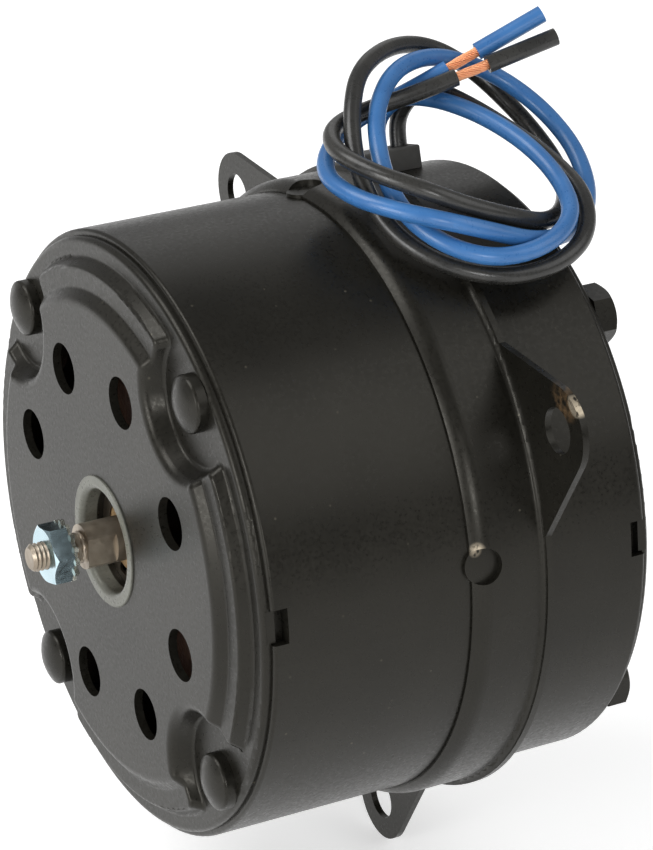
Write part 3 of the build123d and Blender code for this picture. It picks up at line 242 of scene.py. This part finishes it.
def make_camera():
    """A long lens at the photo's place, with no shift and no depth of field."""
    data = bpy.data.cameras.new("camera")
    data.sensor_width = CAMERA_SENSOR
    data.lens = CAMERA_LENS
    data.clip_start = CAMERA_NEAR
    data.clip_end = CAMERA_FAR
    camera = link(bpy.data.objects.new("camera", data))
    camera.location = CAMERA_PLACE
    camera.rotation_mode = "QUATERNION"
    aim = (CAMERA_AIM - CAMERA_PLACE).to_track_quat("-Z", "Y")
    camera.rotation_quaternion = aim @ Quaternion((0, 0, 1), CAMERA_ROLL)
    bpy.context.scene.camera = camera


class Finish:
    """A material whose colour, roughness and relief vary in the object's own space."""

    def __init__(self, name, metallic=0.0):
        self.material = bpy.data.materials.new(name)
        self.material.use_nodes = True
        self.tree = self.material.node_tree
        self.shader = self.tree.nodes["Principled BSDF"]
        self.shade("Metallic", metallic)
        self.place = self.tree.nodes.new("ShaderNodeTexCoord").outputs["Object"]

    def feed(self, socket, value):
        """Sets a socket to a plain value, or links another node's output to it."""
        if isinstance(value, bpy.types.NodeSocket):
            self.tree.links.new(value, socket)
        else:
            socket.default_value = value

    def shade(self, name, value):
        """Sets or links one of the shader's inputs."""
        self.feed(self.shader.inputs[name], value)

    def node(self, kind, values, **settings):
        """A new node, its inputs filled by name or by index."""
        made = self.tree.nodes.new(kind)
        for key, value in settings.items():
            setattr(made, key, value)
        for key, value in values.items():
            self.feed(made.inputs[key], value)
        return made

    def stretched(self, scale):
        """The place in the object, scaled along each axis."""
        return self.node("ShaderNodeMapping", {"Vector": self.place, "Scale": scale}).outputs[0]

    def noise(self, scale, detail, place=None):
        """Even grey noise, with so many grains to the metre."""
        values = {"Vector": place or self.place, "Scale": scale, "Detail": detail}
        return self.node("ShaderNodeTexNoise", values).outputs[0]

    def span(self, value, low, high, to_low=0.0, to_high=1.0):
        """A value carried from one range to another, and held at its ends."""
        values = {"Value": value, "From Min": low, "From Max": high, "To Min": to_low, "To Max": to_high}
        return self.node("ShaderNodeMapRange", values).outputs[0]

    def patches(self, scale, detail, low, high, to_low, to_high):
        """Noise carried from between two of its values to between two others."""
        return self.span(self.noise(scale, detail), low, high, to_low, to_high)

    def times(self, first, second):
        return self.node("ShaderNodeMath", {0: first, 1: second}, operation="MULTIPLY").outputs[0]

    def greatest(self, first, second):
        return self.node("ShaderNodeMath", {0: first, 1: second}, operation="MAXIMUM").outputs[0]

    def mix(self, share, first, second):
        """Two colours mixed by a share."""
        values = {0: share, 6: first, 7: second}
        return self.node("ShaderNodeMix", values, data_type="RGBA").outputs[2]

    def specks(self):
        """1 in small round dots strewn over the surface, 0 elsewhere."""
        cells = self.node("ShaderNodeTexVoronoi", {"Vector": self.place, "Scale": SPECK_PITCH})
        chosen = self.span(cells.outputs["Color"], SPECKS_LEFT_OUT, SPECKS_LEFT_OUT + SPECK_RAMP)
        return self.times(chosen, self.span(cells.outputs["Distance"], *SPECK_SIZE, 1.0, 0.0))

    def near(self, point, full, none):
        """1 within the first distance of a point, 0 beyond the second."""
        away = self.node("ShaderNodeVectorMath", {0: self.place, 1: point}, operation="DISTANCE")
        return self.span(away.outputs["Value"], full, none, 1.0, 0.0)

    def within(self, radius):
        """1 inside a radius round the shaft line, 0 a little way outside it."""
        across = self.stretched((1.0, 0.0, 1.0))
        away = self.node("ShaderNodeVectorMath", {0: across}, operation="LENGTH")
        return self.span(away.outputs["Value"], radius, radius + RING_FADE, 1.0, 0.0)

    def before(self, y):
        """1 on the fan end's side of a place along the shaft line, 0 behind it."""
        place = self.node("ShaderNodeSeparateXYZ", {"Vector": self.place})
        return self.span(place.outputs["Y"], y, y + DEPTH_FADE, 1.0, 0.0)

    def relief(self, height, depth):
        """Bumps of a depth in metres from a height between 0 and 1."""
        bump = self.node("ShaderNodeBump", {"Height": height, "Distance": depth})
        self.shade("Normal", bump.outputs[0])


def rgba(color):
    return (*color, 1.0)


def plain_finish(name, dark, light, rough, grain, depth, metallic=0.0, stretch=(1.0, 1.0, 1.0)):
    """Two close colours, two roughnesses and a fine relief, all from one noise and its finer copy."""
    finish = Finish(name, metallic)
    place = finish.stretched(stretch)
    coarse = finish.noise(grain / COARSE_TO_FINE, COARSE_DETAIL, place)
    fine = finish.noise(grain, FINE_DETAIL, place)
    finish.shade("Base Color", finish.mix(finish.span(coarse, *COARSE_SPAN), rgba(dark), rgba(light)))
    finish.shade("Roughness", finish.span(fine, *FINE_SPAN, *rough))
    finish.relief(fine, depth * MM)
    return finish.material


def painted_finish(name, rust=(), bare=(), speckle=CASE_SPECKLE, hub_ring=False):
    """Satin black enamel with a thin film of dust, fine specks, and rubbed places."""
    finish = Finish(name)
    dusty = finish.times(finish.patches(*DUST_FILM), finish.patches(*DUST_GRAIN))
    paint = finish.mix(dusty, rgba(PAINT_DARK), rgba(PAINT_DUSTY))
    paint = finish.mix(finish.times(finish.specks(), speckle), paint, rgba(DUST))
    for spot in rust:
        rusted = finish.times(finish.near(*spot), finish.patches(*RUST_PATCHES))
        paint = finish.mix(rusted, paint, rgba(RUSTY))
    shine = 0.0
    for spot in bare:
        rubbed = finish.times(finish.near(*spot), finish.patches(*BARE_PATCHES))
        paint = finish.mix(rubbed, paint, rgba(BARE))
        shine = finish.greatest(shine, rubbed)
    if bare:
        finish.shade("Metallic", finish.times(shine, BARE_METALLIC))
    if hub_ring:
        rim = finish.times(finish.within(HUB_RING_RADIUS), finish.before(HUB_RING_FRONT_Y))
        mouth = finish.times(finish.within(HUB_BORE_RADIUS), finish.before(HUB_BORE_BARE_Y))
        worn = finish.times(finish.greatest(rim, mouth), finish.patches(*RING_PATCHES))
        paint = finish.mix(worn, paint, rgba(BARE_DULL))
    finish.shade("Base Color", paint)
    finish.shade("Specular Tint", rgba(PAINT_SHEEN))
    finish.shade("Specular IOR Level", PAINT_SHINE)
    finish.shade("Roughness", finish.patches(*PAINT_GLOSS))
    finish.relief(finish.noise(*PAINT_WAVES), PAINT_WAVE_DEPTH)
    return finish.material


def make_finishes():
    """One material for each of the record's slots."""
    finishes = {slot: plain_finish(slot, *values) for slot, values in PLAIN_FINISHES.items()}
    paint = painted_finish("satin_black_enamel")
    for slot in ("case_paint", "rear_cap_paint", "bolt_paint", "bolt_nut_paint"):
        finishes[slot] = paint
    finishes["cap_paint"] = painted_finish("front_cap_enamel", hub_ring=True)
    finishes["ring_paint"] = painted_finish(
        "rubbed_black_enamel", [EAR_TIP_RUST], [EAR_TIP_BARE, STAKE_BARE], RING_SPECKLE
    )
    return finishes


def make_mesh(name, points, faces, sharp_angle=None):
    """A mesh object from points and faces, shaded smooth but for edges past the sharp angle, if given."""
    mesh = bpy.data.meshes.new(name)
    mesh.from_pydata(points, [], faces)
    mesh.update()
    mesh.shade_smooth()
    if sharp_angle:
        mesh.set_sharp_from_angle(angle=sharp_angle)
    return link(bpy.data.objects.new(name, mesh))


def make_lead(name, points):
    """A lead's insulation: one smooth open spline with the route's points as its control points."""
    curve = bpy.data.curves.new(name, "CURVE")
    curve.dimensions = "3D"
    curve.bevel_depth = LEAD_RADIUS
    curve.bevel_resolution = LEAD_ROUNDNESS
    curve.resolution_u = LEAD_STEPS
    curve.use_fill_caps = True
    spline = curve.splines.new("NURBS")
    spline.points.add(len(points) - 1)
    for control, point in zip(spline.points, points):
        control.co = (*point, 1.0)
    spline.order_u = 3
    spline.use_endpoint_u = True
    return link(bpy.data.objects.new(name, curve))


def make_strands(name, points, seed):
    """The bare copper strands between a lead's cut end and the piece left on their tips."""
    random = Random(seed)
    end = Vector(points[-1])
    along = (end - Vector(points[-2])).normalized()
    side = along.orthogonal().normalized()
    across = along.cross(side)
    curve = bpy.data.curves.new(name, "CURVE")
    curve.dimensions = "3D"
    curve.bevel_depth = STRAND_RADIUS
    curve.bevel_resolution = STRAND_ROUNDNESS
    for count, ring_radius in STRAND_RINGS:
        for index in range(count):
            first = tau * (index + random.uniform(-STRAND_UNEVENNESS, STRAND_UNEVENNESS)) / count
            bulge = random.uniform(0.0, STRAND_BULGE)
            spline = curve.splines.new("POLY")
            spline.points.add(STRAND_STEPS)
            for step, control in enumerate(spline.points):
                share = step / STRAND_STEPS
                angle = first + STRAND_TURNS * tau * share
                reach = ring_radius + bulge * sin(pi * share)
                place = end + along * (STRAND_START + share * (STRAND_END - STRAND_START))
                place += reach * (cos(angle) * side + sin(angle) * across)
                control.co = (*place, 1.0)
    return link(bpy.data.objects.new(name, curve))


def shaft_radius(y, angle):
    """The shaft's radius at a place along it and an angle round it, with the thread's groove."""
    if y >= NECK_REAR_Y:
        return SHAFT_RADIUS - max(0.0, y - (SHAFT_REAR_Y - SHAFT_CHAMFER))
    turns = (y - THREAD_TIP_Y) / THREAD_PITCH - angle / tau
    slope = abs(2 * (turns % 1.0) - 1)
    groove = min(1.0, max(0.0, THREAD_STEEPNESS * slope - THREAD_CREST))
    if y >= NECK_FRONT_Y:
        share = (y - NECK_FRONT_Y) / (NECK_REAR_Y - NECK_FRONT_Y)
        return NECK_RADIUS - max(NECK_DISH * (1 - (2 * share - 1) ** 2), NECK_GROOVE_DEPTH * groove)
    taper = max(0.0, THREAD_TIP_Y + SHAFT_CHAMFER - y)
    return THREAD_RADIUS - max(THREAD_DEPTH * groove, taper)


def places_along(start, end):
    """Places along the shaft close enough together to show its thread."""
    count = round((end - start) / THREAD_PITCH * RINGS_TO_A_TURN)
    return [start + (end - start) * index / count for index in range(count)]


def make_shaft():
    """The turned shaft with its flat and its threaded end, as one closed mesh."""
    rings = places_along(THREAD_TIP_Y, NECK_FRONT_Y) + [NECK_FRONT_Y - HAIR]
    rings += places_along(NECK_FRONT_Y, NECK_REAR_Y) + [NECK_REAR_Y - HAIR]
    rings += [NECK_REAR_Y, FLAT_END_Y - HAIR, FLAT_END_Y, SHAFT_REAR_Y - SHAFT_CHAMFER, SHAFT_REAR_Y]
    points = []
    for y in rings:
        for index in range(SHAFT_SIDES):
            angle = tau * index / SHAFT_SIDES
            radius = shaft_radius(y, angle)
            x = radius * cos(angle)
            if NECK_REAR_Y <= y < FLAT_END_Y:
                x = min(x, SHAFT_FLAT_X)
            points.append((x, y, radius * sin(angle)))
    faces = []
    for ring in range(len(rings) - 1):
        low = ring * SHAFT_SIDES
        high = low + SHAFT_SIDES
        for index in range(SHAFT_SIDES):
            after = (index + 1) % SHAFT_SIDES
            faces.append((low + index, high + index, high + after, low + after))
    faces.append(tuple(range(SHAFT_SIDES)))
    faces.append(tuple(reversed(range(len(points) - SHAFT_SIDES, len(points)))))
    return make_mesh("turned_shaft", points, faces, SHAFT_SHARP_ANGLE)


def make_floor():
    """A white floor just under the lowest ear: it glows to the eye and in mirrors, and keeps the shadow."""
    low = cad_bounds[0].z - FLOOR_DROP
    sides = ((-1, -1), (1, -1), (1, 1), (-1, 1))
    corners = [(x * FLOOR_REACH, y * FLOOR_REACH, low) for x, y in sides]
    floor = make_mesh("floor", corners, [(0, 1, 2, 3)])
    finish = Finish("white_floor")
    finish.shade("Base Color", FLOOR_COLOR)
    finish.shade("Roughness", FLOOR_ROUGHNESS)
    rays = finish.node("ShaderNodeLightPath", {}).outputs
    mirrored = finish.greatest(rays["Is Glossy Ray"], rays["Is Transmission Ray"])
    seen = finish.greatest(rays["Is Camera Ray"], mirrored)
    finish.shade("Emission Color", WHITE)
    finish.shade("Emission Strength", finish.times(seen, FLOOR_GLOW))
    floor.data.materials.append(finish.material)


def make_world():
    """A plain pale world."""
    world = bpy.data.worlds.new("world")
    bpy.context.scene.world = world
    world.use_nodes = True
    background = world.node_tree.nodes["Background"]
    background.inputs["Color"].default_value = WHITE
    background.inputs["Strength"].default_value = WORLD_LEVEL


def make_lamps():
    """Square soft lamps, all facing the motor."""
    for name, place, size, power in LAMPS:
        data = bpy.data.lights.new(name, "AREA")
        data.shape = "SQUARE"
        data.size = size
        data.energy = power
        lamp = link(bpy.data.objects.new(name, data))
        lamp.location = place
        lamp.rotation_mode = "QUATERNION"
        lamp.rotation_quaternion = (-Vector(place)).to_track_quat("-Z", "Y")


def dress_nodes(finishes):
    """Gives every node of the model the finish of its slot."""
    slots = {part["node"]: part["material_slot"] for part in frame["record"]["subparts"]}
    for name, thing in nodes.items():
        thing.data.materials.clear()
        thing.data.materials.append(finishes[slots[name]])


def add_leads(finishes):
    """Both leads with their bare strands, each in place of its plain solids."""
    leads = (
        ("blue", BLUE_LEAD_POINTS, BLUE_LEAD_LENGTH, BLUE_LEAD_SEED),
        ("black", BLACK_LEAD_POINTS, BLACK_LEAD_LENGTH, BLACK_LEAD_SEED),
    )
    for color_name, points, length, seed in leads:
        lead = make_lead(f"{color_name}_lead_wire", points)
        strands = make_strands(f"{color_name}_lead_strands", points, seed)
        for piece, slot, node in (
            (lead, f"{color_name}_insulation", f"{color_name}_lead"),
            (strands, "bare_copper", f"{color_name}_lead_core"),
        ):
            piece.data.materials.append(finishes[slot])
            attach(piece, "motor")
            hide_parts(node)


def add_shaft(finishes):
    """The threaded shaft in place of the plain one."""
    shaft = make_shaft()
    shaft.data.materials.append(finishes["shaft_steel"])
    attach(shaft, "rotor")
    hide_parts("rotor_shaft")


make_camera()
make_floor()
make_world()
make_lamps()
finishes = make_finishes()
dress_nodes(finishes)
add_leads(finishes)
add_shaft(finishes)
bpy.context.scene.view_settings.view_transform = "Standard"
